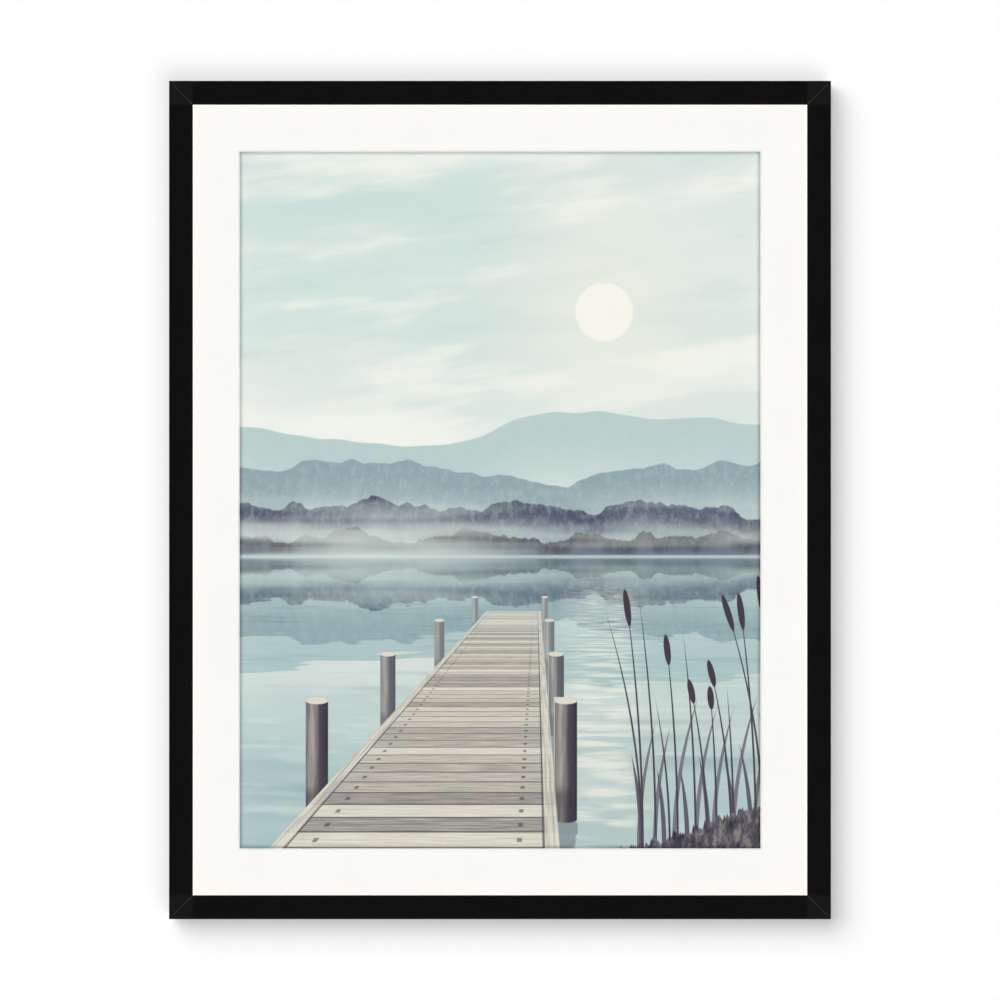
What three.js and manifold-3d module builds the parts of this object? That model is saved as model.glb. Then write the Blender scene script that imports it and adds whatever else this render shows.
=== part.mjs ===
// A framed and matted art print, hung portrait. Millimetres, +Z up, the picture faces -Y.
// The origin lies on the wall, midway between the two hangers, at the height of the wall nails.
// Depths are measured from the front face of the moulding towards the wall.
import * as THREE from 'three';
import { mergeVertices } from 'three/addons/utils/BufferGeometryUtils.js';
import Module from 'manifold-3d';

// Driving dimensions
const PRINT = { width: 450, height: 600, thickness: 0.3 };
const WINDOW_LAP = 3; // how far the window mat covers each edge of the print
const MAT_BORDER = 39.5; // mat seen between the window and the moulding
const RAIL_WIDTH = 20; // face of the moulding
const RAIL_DEPTH = 22;
const LIP_THICKNESS = 4; // wood in front of the rebate
const REBATE_WIDTH = 6; // how far the moulding covers the sheets
const OUTER_ROUNDING = 0.8;
const SIGHT_ROUNDING = 0.6;
const MITRE_GAP = 0.1;
const SHEET_PLAY = 1; // room round the sheets in the rebate
const SHEET_GAP = 0.1; // air between one sheet and the next

const GLAZING_THICKNESS = 2;
const MAT_THICKNESS = 1.4;
const SPACER = { thickness: 1.8, width: 20 };
const TAPE = { width: 25, height: 40, thickness: 0.15, gap: 0.05, inset: 110 };
const MOUNT_BOARD_THICKNESS = 1.4;
const BACK_BOARD_THICKNESS = 3;

const POINT = {
  length: 22, width: 5.5, thickness: 0.4, bite: 5.5, tip: 3, bluntness: 0.5, corner: 1, hole: 1.2,
};
const POINTS_PER_SHORT_RAIL = 3;
const POINTS_PER_LONG_RAIL = 4;
const V_NAIL = { leg: 5.5, thickness: 0.5, height: 9, apex: 9.5, sunk: 0.2 };
const HANGER = { length: 46, width: 9.5, thickness: 0.8, rise: 1.6, foot: 9, ramp: 2 };
const HANGER_SPACING = 320;
const TOOTH = { pitch: 3, depth: 2.2, count: 9 };
const NAIL = { length: 11, shank: 0.65, head: 1.7, crown: 1.02, headHeight: 0.7, tip: 2, inset: 3.5 };
const BUMPER = { radius: 5, height: 2.9, rounding: 0.8, inset: 28 };
const FIT = 0.15; // clearance round a piece that sits in a slot or a hole
const CONTACT = 0.1; // air under what is fixed to the back of the moulding
const OVERRUN = 1; // how far a cutter runs on past the face that it opens
const FACETS = { rounding: 4, hole: 10, nail: 12, bumper: 24 };

// Sizes that follow from them
const WINDOW = {
  width: PRINT.width - 2 * WINDOW_LAP,
  height: PRINT.height - 2 * WINDOW_LAP,
};
const OUTER = {
  width: WINDOW.width + 2 * (MAT_BORDER + RAIL_WIDTH),
  height: WINDOW.height + 2 * (MAT_BORDER + RAIL_WIDTH),
};
const REBATE_WALL = RAIL_WIDTH - REBATE_WIDTH; // from the outer edge to the rebate's side
const SHEET = {
  width: OUTER.width - 2 * (REBATE_WALL + SHEET_PLAY),
  height: OUTER.height - 2 * (REBATE_WALL + SHEET_PLAY),
};
const BACK_CENTRE = REBATE_WALL / 2; // middle of the moulding's rear face
const WALL_DEPTH = RAIL_DEPTH + CONTACT + BUMPER.height;
const HANG_DROP = BACK_CENTRE + HANGER.width / 2 - TOOTH.depth; // top edge to wall nail

// Depth of the front of each sheet
const GLAZING_DEPTH = LIP_THICKNESS + SHEET_GAP;
const MAT_DEPTH = GLAZING_DEPTH + GLAZING_THICKNESS + SHEET_GAP;
const SPACER_DEPTH = MAT_DEPTH + MAT_THICKNESS + SHEET_GAP;
const MOUNT_BOARD_DEPTH = SPACER_DEPTH + SPACER.thickness + SHEET_GAP;
const TAPE_DEPTH = MOUNT_BOARD_DEPTH - TAPE.gap - TAPE.thickness;
const PRINT_DEPTH = TAPE_DEPTH - TAPE.gap - PRINT.thickness;
const BACK_BOARD_DEPTH = MOUNT_BOARD_DEPTH + MOUNT_BOARD_THICKNESS + SHEET_GAP;
const POINT_DEPTH = BACK_BOARD_DEPTH + BACK_BOARD_THICKNESS + SHEET_GAP;

const wasm = await Module();
wasm.setup();

const finish = (color, roughness, metalness = 0, extra = {}) =>
  () => new THREE.MeshStandardMaterial({ color, roughness, metalness, ...extra });
const blackPaint = finish(0x111111, 0.55);
const clearSheet = finish(0xf4f8f7, 0.05, 0, { transparent: true, opacity: 0.2 });
const matBoard = finish(0xfaf9f5, 0.9);
const greyBoard = finish(0xc9c5ba, 0.9);
const printPaper = finish(0xb5cfca, 0.7);
const paperTape = finish(0xf0ece0, 0.8);
const fibreBoard = finish(0x9a7450, 0.8);
const springSteel = finish(0x9c9fa3, 0.35, 1);
const platedSteel = finish(0xb9bbbd, 0.3, 1);
const rubber = finish(0x23231f, 0.8);

function piece(name, geometry, material) {
  const mesh = new THREE.Mesh(geometry, material());
  mesh.name = name;
  return mesh;
}

function toSolid(geometry) {
  const bare = geometry.clone();
  bare.deleteAttribute('normal');
  bare.deleteAttribute('uv');
  const merged = mergeVertices(bare, 1e-4);
  return new wasm.Manifold(new wasm.Mesh({
    numProp: 3,
    vertProperties: new Float32Array(merged.attributes.position.array),
    triVerts: new Uint32Array(merged.index.array),
  }));
}

function cutAway(geometry, cutters) {
  let solid = toSolid(geometry);
  for (const cutter of cutters) solid = solid.subtract(toSolid(cutter));
  const mesh = solid.getMesh();
  const result = new THREE.BufferGeometry();
  result.setAttribute('position', new THREE.BufferAttribute(mesh.vertProperties, 3));
  result.setIndex(new THREE.BufferAttribute(mesh.triVerts, 1));
  result.computeVertexNormals();
  return result;
}

function moveVertices(geometry, move) {
  const position = geometry.attributes.position;
  const vertex = new THREE.Vector3();
  for (let i = 0; i < position.count; i += 1) {
    vertex.fromBufferAttribute(position, i);
    move(vertex);
    position.setXYZ(i, vertex.x, vertex.y, vertex.z);
  }
  return geometry;
}

// An outline in X and Z, made thick from y = 0 towards the wall.
function plate(outline, thickness, segments = 6) {
  const geometry = new THREE.ExtrudeGeometry(outline, {
    depth: thickness, bevelEnabled: false, curveSegments: segments,
  });
  return geometry.rotateX(Math.PI / 2).translate(0, thickness, 0);
}

function rectangle(width, height, kind = THREE.Shape) {
  const outline = new kind();
  outline.moveTo(-width / 2, -height / 2);
  outline.lineTo(width / 2, -height / 2);
  outline.lineTo(width / 2, height / 2);
  outline.lineTo(-width / 2, height / 2);
  outline.closePath();
  return outline;
}

function sheet(width, height, thickness, depth) {
  return new THREE.BoxGeometry(width, thickness, height).translate(0, depth + thickness / 2, 0);
}

// Section of the moulding: across is the distance from its outer edge, depth from its face.
function railSection() {
  const section = new THREE.Shape();
  section.moveTo(OUTER_ROUNDING, 0);
  section.lineTo(RAIL_WIDTH - SIGHT_ROUNDING, 0);
  section.absarc(RAIL_WIDTH - SIGHT_ROUNDING, SIGHT_ROUNDING, SIGHT_ROUNDING, -Math.PI / 2, 0);
  section.lineTo(RAIL_WIDTH, LIP_THICKNESS);
  section.lineTo(REBATE_WALL, LIP_THICKNESS);
  section.lineTo(REBATE_WALL, RAIL_DEPTH);
  section.lineTo(0, RAIL_DEPTH);
  section.lineTo(0, OUTER_ROUNDING);
  section.absarc(OUTER_ROUNDING, OUTER_ROUNDING, OUTER_ROUNDING, Math.PI, 1.5 * Math.PI);
  return section;
}

// A mitred length as the top rail lies, centred on X, its outer edge at z = reach. A short piece
// of the moulding is made first, and then both ends are moved out to their mitres.
function mitredRail(length, reach) {
  const rail = new THREE.ExtrudeGeometry(railSection(), {
    depth: RAIL_WIDTH, bevelEnabled: false, curveSegments: FACETS.rounding,
  });
  moveVertices(rail, (v) => {
    const halfLength = length / 2 - v.x - MITRE_GAP / 2;
    v.z = v.z > RAIL_WIDTH / 2 ? halfLength : -halfLength;
  });
  return rail.rotateY(Math.PI / 2).translate(0, 0, reach);
}

// A flat bar with a pointed tip, which is driven up into the rebate's side at z = 0.
function flexiblePoint(margin) {
  const { length, width, thickness, bite, tip, bluntness, corner } = POINT;
  const half = width / 2 + margin;
  const free = bite - length - margin;
  const shoulder = bite - tip + margin;
  const outline = new THREE.Shape();
  outline.moveTo(-half + corner, free);
  outline.lineTo(half - corner, free);
  outline.lineTo(half, free + corner);
  outline.lineTo(half, shoulder);
  outline.lineTo(bluntness, bite + margin);
  outline.lineTo(-bluntness, bite + margin);
  outline.lineTo(-half, shoulder);
  outline.lineTo(-half, free + corner);
  outline.closePath();
  if (margin === 0) {
    const hole = new THREE.Path();
    hole.absarc(0, free + width / 2, POINT.hole, 0, 2 * Math.PI, true);
    outline.holes.push(hole);
  }
  return plate(outline, thickness + 2 * margin, FACETS.hole)
    .translate(0, POINT_DEPTH - margin, 0);
}

// The wedge of the upper right mitre, whose outer corner is at x = 0, z = 0.
function vNail(margin) {
  const near = -V_NAIL.apex - margin;
  const inner = near + V_NAIL.thickness + 2 * margin;
  const far = -V_NAIL.apex + V_NAIL.leg + margin;
  const outline = new THREE.Shape();
  outline.moveTo(near, near);
  outline.lineTo(far, near);
  outline.lineTo(far, inner);
  outline.lineTo(inner, inner);
  outline.lineTo(inner, far);
  outline.lineTo(near, far);
  outline.closePath();
  const open = margin > 0 ? V_NAIL.sunk + OVERRUN : 0;
  return plate(outline, V_NAIL.height + margin + open)
    .translate(0, RAIL_DEPTH - V_NAIL.sunk - V_NAIL.height - margin, 0);
}

// A nail driven towards the front, its head's underside at y = 0.
function nail(margin) {
  const { length, tip, head, crown, headHeight } = NAIL;
  const shank = NAIL.shank + margin;
  const hole = [[0, -length - margin], [shank, -length - margin], [shank, OVERRUN], [0, OVERRUN]];
  const driven = [
    [0, -length], [shank, tip - length], [shank, 0], [head, 0],
    [head, headHeight / 2], [crown, headHeight], [0, headHeight],
  ];
  const profile = (margin > 0 ? hole : driven).map(([r, y]) => new THREE.Vector2(r, y));
  return new THREE.LatheGeometry(profile, FACETS.nail);
}

// A strip with two feet on the wood and a raised middle, its lower edge cut into teeth.
function sawtoothHanger() {
  const { length, width, thickness, rise, foot, ramp } = HANGER;
  const half = length / 2;
  const bend = half - foot;
  const strip = new THREE.Shape();
  strip.moveTo(-half, 0);
  strip.lineTo(-bend, 0);
  strip.lineTo(-bend + ramp, rise);
  strip.lineTo(bend - ramp, rise);
  strip.lineTo(bend, 0);
  strip.lineTo(half, 0);
  strip.lineTo(half, thickness);
  strip.lineTo(bend + thickness / 2, thickness);
  strip.lineTo(bend - ramp + thickness / 2, rise + thickness);
  strip.lineTo(-bend + ramp - thickness / 2, rise + thickness);
  strip.lineTo(-bend - thickness / 2, thickness);
  strip.lineTo(-half, thickness);
  strip.closePath();
  const blank = new THREE.ExtrudeGeometry(strip, { depth: width, bevelEnabled: false })
    .translate(0, 0, -width / 2);
  const cutters = [];
  for (let i = 0; i < TOOTH.count; i += 1) {
    const middle = (i - (TOOTH.count - 1) / 2) * TOOTH.pitch;
    const notch = new THREE.Shape();
    notch.moveTo(middle - TOOTH.pitch / 2, -width / 2);
    notch.lineTo(middle, -width / 2 + TOOTH.depth);
    notch.lineTo(middle + TOOTH.pitch / 2, -width / 2);
    notch.lineTo(middle, -width / 2 - TOOTH.depth);
    notch.closePath();
    cutters.push(plate(notch, rise + thickness + OVERRUN));
  }
  const radius = NAIL.shank + FIT;
  for (const end of [-1, 1]) {
    const drill = new THREE.CylinderGeometry(radius, radius, 2 * (thickness + OVERRUN), FACETS.nail);
    cutters.push(drill.translate(end * (half - NAIL.inset), 0, 0));
  }
  return cutAway(blank, cutters);
}

function bumper() {
  const { radius, height, rounding } = BUMPER;
  const profile = [new THREE.Vector2(0, 0), new THREE.Vector2(radius, 0)];
  for (let i = 0; i <= FACETS.rounding; i += 1) {
    const angle = (i / FACETS.rounding) * (Math.PI / 2);
    profile.push(new THREE.Vector2(
      radius - rounding + rounding * Math.cos(angle),
      height - rounding + rounding * Math.sin(angle),
    ));
  }
  profile.push(new THREE.Vector2(0, height));
  return new THREE.LatheGeometry(profile, FACETS.bumper);
}

// The window is cut at 45 degrees, so its opening in the mat's face is the larger one.
function windowMat() {
  const outline = rectangle(SHEET.width, SHEET.height);
  outline.holes.push(rectangle(WINDOW.width, WINDOW.height, THREE.Path));
  const mat = plate(outline, MAT_THICKNESS);
  moveVertices(mat, (v) => {
    const onWindow = Math.abs(v.x) < (SHEET.width + WINDOW.width) / 4;
    const onFace = v.y < MAT_THICKNESS / 2;
    if (onWindow && onFace) {
      v.x += Math.sign(v.x) * MAT_THICKNESS;
      v.z += Math.sign(v.z) * MAT_THICKNESS;
    }
  });
  return mat.translate(0, MAT_DEPTH, 0);
}

// Where the points stand along a rail of this length
function pointPlaces(length, count) {
  const step = (length - 2 * RAIL_WIDTH) / count;
  return Array.from({ length: count }, (_, i) => (i - (count - 1) / 2) * step);
}

// One rail with what is driven into it, as the top rail lies; the group turns it to its side.
function side(name, length, reach, turn, pointCount) {
  const group = new THREE.Group();
  group.rotation.y = turn;
  const cutters = [
    vNail(FIT).translate(length / 2, 0, reach),
    vNail(FIT).rotateY(-Math.PI / 2).translate(-length / 2, 0, reach),
  ];
  pointPlaces(length, pointCount).forEach((x, i) => {
    const point = piece(`point_${name}_${i + 1}`, flexiblePoint(0), springSteel);
    point.position.set(x, 0, reach - REBATE_WALL);
    group.add(point);
    cutters.push(flexiblePoint(FIT).translate(x, 0, reach - REBATE_WALL));
  });
  if (name === 'top') addHangers(group, reach, cutters);
  if (name === 'bottom') addBumpers(group, length, reach);
  group.add(piece(`rail_${name}`, cutAway(mitredRail(length, reach), cutters), blackPaint));
  return group;
}

function addHangers(group, reach, cutters) {
  for (const [name, place] of [['left', -1], ['right', 1]]) {
    const x = place * HANGER_SPACING / 2;
    const hanger = piece(`hanger_${name}`, sawtoothHanger(), platedSteel);
    hanger.position.set(x, RAIL_DEPTH + CONTACT, reach - BACK_CENTRE);
    group.add(hanger);
    for (const [end, direction] of [['left', -1], ['right', 1]]) {
      const nailX = x + direction * (HANGER.length / 2 - NAIL.inset);
      const seat = RAIL_DEPTH + 2 * CONTACT + HANGER.thickness;
      const tack = piece(`nail_${name}_hanger_${end}`, nail(0), platedSteel);
      tack.position.set(nailX, seat, reach - BACK_CENTRE);
      group.add(tack);
      cutters.push(nail(FIT).translate(nailX, seat, reach - BACK_CENTRE));
    }
  }
}

function addBumpers(group, length, reach) {
  // The bottom rail is turned half round, so its left is at +X in its own group.
  for (const [name, place] of [['left', 1], ['right', -1]]) {
    const pad = piece(`bumper_${name}`, bumper(), rubber);
    pad.position.set(place * (length / 2 - BUMPER.inset), RAIL_DEPTH + CONTACT,
      reach - BACK_CENTRE);
    group.add(pad);
  }
}

function vNails() {
  const group = new THREE.Group();
  const corners = [
    ['top_right', 1, 1, 0],
    ['bottom_right', 1, -1, Math.PI / 2],
    ['bottom_left', -1, -1, Math.PI],
    ['top_left', -1, 1, -Math.PI / 2],
  ];
  for (const [name, x, z, turn] of corners) {
    const wedge = piece(`v_nail_${name}`, vNail(0), springSteel);
    wedge.rotation.y = turn;
    wedge.position.set(x * OUTER.width / 2, 0, z * OUTER.height / 2);
    group.add(wedge);
  }
  return group;
}

// Strips that lie on the mat's border behind it: the long ones stand between the short ones.
function spacers() {
  const group = new THREE.Group();
  const { width, thickness } = SPACER;
  const acrossZ = (SHEET.height - width) / 2;
  const acrossX = (SHEET.width - width) / 2;
  const uprightLength = SHEET.height - 2 * width - 2 * SHEET_GAP;
  for (const [name, z] of [['top', acrossZ], ['bottom', -acrossZ]]) {
    const strip = sheet(SHEET.width, width, thickness, SPACER_DEPTH);
    group.add(piece(`spacer_${name}`, strip.translate(0, 0, z), greyBoard));
  }
  for (const [name, x] of [['left', -acrossX], ['right', acrossX]]) {
    const strip = sheet(width, uprightLength, thickness, SPACER_DEPTH);
    group.add(piece(`spacer_${name}`, strip.translate(x, 0, 0), greyBoard));
  }
  return group;
}

// The print hangs on two tapes, half behind its top edge and half above it.
function hungPrint() {
  const group = new THREE.Group();
  const print = sheet(PRINT.width, PRINT.height, PRINT.thickness, PRINT_DEPTH);
  group.add(piece('print', print, printPaper));
  for (const [name, place] of [['left', -1], ['right', 1]]) {
    const tape = sheet(TAPE.width, TAPE.height, TAPE.thickness, TAPE_DEPTH);
    tape.translate(place * (PRINT.width / 2 - TAPE.inset), 0, PRINT.height / 2);
    group.add(piece(`tape_${name}`, tape, paperTape));
  }
  return group;
}

const { width: sheetWidth, height: sheetHeight } = SHEET;
const glazing = sheet(sheetWidth, sheetHeight, GLAZING_THICKNESS, GLAZING_DEPTH);
const mountBoard = sheet(sheetWidth, sheetHeight, MOUNT_BOARD_THICKNESS, MOUNT_BOARD_DEPTH);
const backBoard = sheet(sheetWidth, sheetHeight, BACK_BOARD_THICKNESS, BACK_BOARD_DEPTH);

const picture = new THREE.Group();
picture.name = 'framed_print';
picture.position.set(0, -WALL_DEPTH, HANG_DROP - OUTER.height / 2);
picture.add(
  side('top', OUTER.width, OUTER.height / 2, 0, POINTS_PER_SHORT_RAIL),
  side('right', OUTER.height, OUTER.width / 2, Math.PI / 2, POINTS_PER_LONG_RAIL),
  side('bottom', OUTER.width, OUTER.height / 2, Math.PI, POINTS_PER_SHORT_RAIL),
  side('left', OUTER.height, OUTER.width / 2, -Math.PI / 2, POINTS_PER_LONG_RAIL),
  vNails(),
  piece('glazing', glazing, clearSheet),
  piece('window_mat', windowMat(), matBoard),
  spacers(),
  hungPrint(),
  piece('mount_board', mountBoard, matBoard),
  piece('back_board', backBoard, fibreBoard),
);

export default picture;
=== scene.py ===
# A framed and matted landscape print, hung portrait on a white wall. Metres, +Z up, facing -Y.
import math

import bmesh
import bpy
from mathutils import Matrix, Vector


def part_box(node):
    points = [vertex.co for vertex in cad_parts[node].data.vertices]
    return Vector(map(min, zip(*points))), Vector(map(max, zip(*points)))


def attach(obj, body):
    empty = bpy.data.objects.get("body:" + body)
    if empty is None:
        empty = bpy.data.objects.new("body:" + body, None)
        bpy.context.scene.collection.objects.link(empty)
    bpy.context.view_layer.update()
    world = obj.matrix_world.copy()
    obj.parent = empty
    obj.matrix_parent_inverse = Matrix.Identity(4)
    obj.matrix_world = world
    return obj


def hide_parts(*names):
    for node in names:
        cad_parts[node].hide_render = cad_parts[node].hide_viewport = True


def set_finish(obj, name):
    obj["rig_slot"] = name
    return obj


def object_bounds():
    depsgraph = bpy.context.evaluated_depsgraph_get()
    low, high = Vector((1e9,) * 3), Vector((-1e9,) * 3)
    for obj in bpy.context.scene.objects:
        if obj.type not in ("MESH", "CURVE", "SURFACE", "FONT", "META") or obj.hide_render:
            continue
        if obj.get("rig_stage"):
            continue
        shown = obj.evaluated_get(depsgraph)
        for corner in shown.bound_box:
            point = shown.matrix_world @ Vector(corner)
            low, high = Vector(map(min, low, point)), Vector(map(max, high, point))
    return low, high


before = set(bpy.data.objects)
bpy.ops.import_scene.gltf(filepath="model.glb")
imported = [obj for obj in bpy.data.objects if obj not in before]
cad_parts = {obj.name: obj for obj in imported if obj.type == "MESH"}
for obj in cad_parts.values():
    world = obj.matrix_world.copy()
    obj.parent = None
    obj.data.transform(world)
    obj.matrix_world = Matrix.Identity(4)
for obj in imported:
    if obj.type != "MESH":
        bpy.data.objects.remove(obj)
solid_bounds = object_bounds()
MM = 0.001

# What the moulding, the sheets and the hardware measure
RAIL_WIDTH = 20 * MM
RAIL_DEPTH = 22 * MM
LIP_THICKNESS = 4 * MM
REBATE_WALL = 14 * MM  # from the moulding's outer edge to the side of its rebate
OUTER_ROUNDING = 0.8 * MM
SIGHT_ROUNDING = 0.6 * MM
REAR_ROUNDING = 0.5 * MM
MITRE_GAP = 0.1 * MM
MITRE_CHAMFER = 0.2 * MM
WINDOW_LIP = 0.06 * MM  # what the mat knife leaves upright under its bevel
SLOT_ROOM = 0.12 * MM
POINT_TIP = 3 * MM
POINT_BITE = 5.5 * MM
POINT_HOLE = 1.2 * MM
POINT_LIFT = 0.7 * MM
V_NAIL_THICKNESS = 0.5 * MM
V_NAIL_HEIGHT = 9 * MM
HANGER_THICKNESS = 0.8 * MM
HANGER_RISE = 1.6 * MM
HANGER_FOOT = 9 * MM
HANGER_RAMP = 2 * MM
TOOTH_PITCH = 3 * MM
TOOTH_DEPTH = 2.2 * MM
TEETH = 9
NAIL_SHANK = 0.65 * MM
NAIL_HEAD = 1.7 * MM

# Places taken from the solids
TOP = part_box("rail_top")[1].z
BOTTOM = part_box("rail_bottom")[0].z
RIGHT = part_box("rail_right")[1].x
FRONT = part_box("rail_top")[0].y
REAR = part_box("rail_top")[1].y
WIDTH = 2 * RIGHT
HEIGHT = TOP - BOTTOM
MIDDLE = (TOP + BOTTOM) / 2
PRINT_LOW, PRINT_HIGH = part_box("print")
WINDOW_LAP = 3 * MM
WINDOW_WIDTH = PRINT_HIGH.x - PRINT_LOW.x - 2 * WINDOW_LAP
WINDOW_HEIGHT = PRINT_HIGH.z - PRINT_LOW.z - 2 * WINDOW_LAP


# Shader values

class Signal:
    """A value on its way through a material's nodes. Arithmetic on it adds Math nodes."""

    def __init__(self, finish, socket):
        self.finish = finish
        self.socket = socket

    def __add__(self, other):
        return self.finish.math("ADD", self, other)

    def __radd__(self, other):
        return self.finish.math("ADD", other, self)

    def __sub__(self, other):
        return self.finish.math("SUBTRACT", self, other)

    def __rsub__(self, other):
        return self.finish.math("SUBTRACT", other, self)

    def __mul__(self, other):
        return self.finish.math("MULTIPLY", self, other)

    def __rmul__(self, other):
        return self.finish.math("MULTIPLY", other, self)

    def __truediv__(self, other):
        return self.finish.math("DIVIDE", self, other)

    def __rtruediv__(self, other):
        return self.finish.math("DIVIDE", other, self)

    def __pow__(self, other):
        return self.finish.math("POWER", self, other)

    def __abs__(self):
        return self.finish.math("ABSOLUTE", self)

    def ease(self, start, end):
        """0 at start and 1 at end, smooth between them. Start may be the larger."""
        low, high = min(start, end), max(start, end)
        first, last = (0, 1) if start < end else (1, 0)
        return self.finish.node(
            "MapRange", {"interpolation_type": "SMOOTHSTEP"},
            {"Value": self, "From Min": low, "From Max": high, "To Min": first, "To Max": last})


class Finish:
    """One material, and the one place that makes its nodes."""

    def __init__(self, name, owner=None):
        self.owner = owner or bpy.data.materials.new(name)
        self.owner.use_nodes = True
        self.tree = self.owner.node_tree
        self.tree.nodes.clear()

    def node(self, kind, settings=None, sockets=None, output=0):
        made = self.tree.nodes.new("ShaderNode" + kind)
        for name, value in (settings or {}).items():
            if name == "stops":
                self.set_stops(made.color_ramp, value)
            else:
                setattr(made, name, value)
        for name, value in (sockets or {}).items():
            if isinstance(value, Signal):
                self.tree.links.new(value.socket, made.inputs[name])
            else:
                made.inputs[name].default_value = value
        return Signal(self, made.outputs[output]) if made.outputs else made

    def set_stops(self, ramp, stops):
        while len(ramp.elements) < len(stops):
            ramp.elements.new(0.5)
        for element, (place, colour) in zip(ramp.elements, stops):
            element.position = place
            element.color = colour

    def math(self, operation, *values):
        return self.node("Math", {"operation": operation}, dict(enumerate(values)))

    def split(self, vector):
        first = self.node("SeparateXYZ", None, {0: vector})
        return [Signal(self, socket) for socket in first.socket.node.outputs]

    def place(self):
        """The point's own x, y and z on the object."""
        return self.split(self.node("TexCoord", output="Object"))

    def vector(self, x, y, z=0):
        return self.node("CombineXYZ", None, {0: x, 1: y, 2: z})

    def noise(self, place, dimensions="3D", scale=1, detail=3, roughness=0.5):
        socket = "W" if dimensions == "1D" else "Vector"
        return self.node("TexNoise", {"noise_dimensions": dimensions}, {
            socket: place, "Scale": scale, "Detail": detail, "Roughness": roughness})

    def mix(self, share, first, second):
        """A colour that is the first where share is 0 and the second where it is 1."""
        return self.node("Mix", {"data_type": "RGBA"}, {0: share, 6: first, 7: second}, 2)

    def ramp(self, value, *stops):
        return self.node("ValToRGB", {"stops": stops}, {0: value})

    def bump(self, height, strength, distance):
        return self.node("Bump", None, {
            "Height": height, "Strength": strength, "Distance": distance})

    def surface(self, **sockets):
        """A Principled surface. A socket's words are joined by underscores."""
        named = {name.replace("_", " "): value for name, value in sockets.items()}
        return self.use(self.node("BsdfPrincipled", None, named))

    def use(self, shader, end="OutputMaterial"):
        self.node(end, None, {"Surface": shader})
        return self.owner


def ink(code):
    """A colour written as six hexadecimal digits, as the linear values that shaders use."""
    parts = [int(code[i:i + 2], 16) / 255 for i in (0, 2, 4)]
    linear = [p / 12.92 if p <= 0.04045 else ((p + 0.055) / 1.055) ** 2.4 for p in parts]
    return (*linear, 1)


# Materials

def frame_distances(finish):
    """How far a point is from the frame's nearer upright edge and its nearer level edge."""
    x, y, z = finish.place()
    return WIDTH / 2 - abs(x), HEIGHT / 2 - abs(z - MIDDLE), x, y, z


def black_moulding(name, upright):
    """Flat black paint on wood whose grain runs along the rail; the back is left bare."""
    m = Finish(name)
    to_side, to_end, x, y, z = frame_distances(m)
    along, across = (z, x) if upright else (x, z)
    grain = m.noise(m.vector(along * 22, across * 900, y * 900), detail=4, roughness=0.6)
    blotches = m.noise(m.vector(x, y, z), scale=38, detail=2)
    # Along each mitre the paint is paler, a painted highlight where the mitre groove catches
    # light, and the front face is a touch paler near each corner.
    edge = m.math("MINIMUM", to_side, to_end)
    from_mitre = abs(to_side - to_end)
    mitre_highlight = from_mitre.ease(0.85 * MM, 0.45 * MM) * edge.ease(1.5 * MM, 4 * MM)
    corner = (to_side.ease(21 * MM, 19.5 * MM) * to_end.ease(21 * MM, 19.5 * MM)
              * y.ease(FRONT + 1.5 * MM, FRONT + 0.5 * MM))
    paint = m.mix(blotches.ease(0.35, 0.7), ink("090909"), ink("0b0b0b"))
    # The front face is painted a touch paler near each corner.
    paint = m.mix(corner * 0.85, paint, ink("151515"))
    # Painted highlight along each mitre line, where the groove catches light.
    paint = m.mix(mitre_highlight * 0.85, paint, ink("303030"))
    creep = 1.1 * MM + 2.2 * MM * m.noise(m.vector(along * 160, across * 160), detail=3)
    rear = y.ease(REAR - 0.35 * MM, REAR - 0.1 * MM) * (edge - creep).ease(0, 0.25 * MM)
    rebate = (edge.ease(REBATE_WALL - 0.4 * MM, REBATE_WALL - 0.1 * MM)
              * edge.ease(RAIL_WIDTH - 0.6 * MM, RAIL_WIDTH - 1.2 * MM)
              * y.ease(FRONT + LIP_THICKNESS - 0.2 * MM, FRONT + LIP_THICKNESS)
              * from_mitre.ease(0.2 * MM, 0.5 * MM))
    bare = m.math("MAXIMUM", rear, rebate)
    wood = m.ramp(grain, (0.25, ink("a88256")), (0.5, ink("c9a878")), (0.75, ink("d8bd92")))
    return m.surface(
        Base_Color=m.mix(bare, paint, wood),
        Roughness=0.5 + 0.12 * grain + 0.12 * bare,
        Specular_IOR_Level=0.22,
        Normal=m.bump(grain, 0.25, 0.12 * MM))


def clear_glazing():
    """Thin clear sheet: it mirrors little head on and more at a slant."""
    m = Finish("clear glazing")
    slant = m.node("LayerWeight", None, {"Blend": 0.5}, "Facing")
    mirrored = 0.03 + 0.9 * slant ** 5
    through = m.node("BsdfTransparent", None, {"Color": (0.996, 0.997, 0.996, 1)})
    gloss = m.node("BsdfGlossy", None, {"Color": (1, 1, 1, 1), "Roughness": 0.02})
    return m.use(m.node("MixShader", None, {0: mirrored, 1: through, 2: gloss}))


def board(name, colour, shade, tooth):
    """Paper board: a flat pale colour, faint cloudiness and the tooth of pressed pulp."""
    m = Finish(name)
    x, y, z = m.place()
    point = m.vector(x, y, z)
    cloud = m.noise(point, scale=30, detail=1)
    pulp = m.noise(point, scale=1300, detail=1, roughness=0.7)
    colour = m.mix(cloud.ease(0.3, 0.7) * 0.4, colour, shade)
    return m.surface(
        Base_Color=colour, Roughness=0.82 + 0.12 * pulp, Specular_IOR_Level=0.2,
        Normal=m.bump(pulp, 0.25, tooth))


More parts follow.
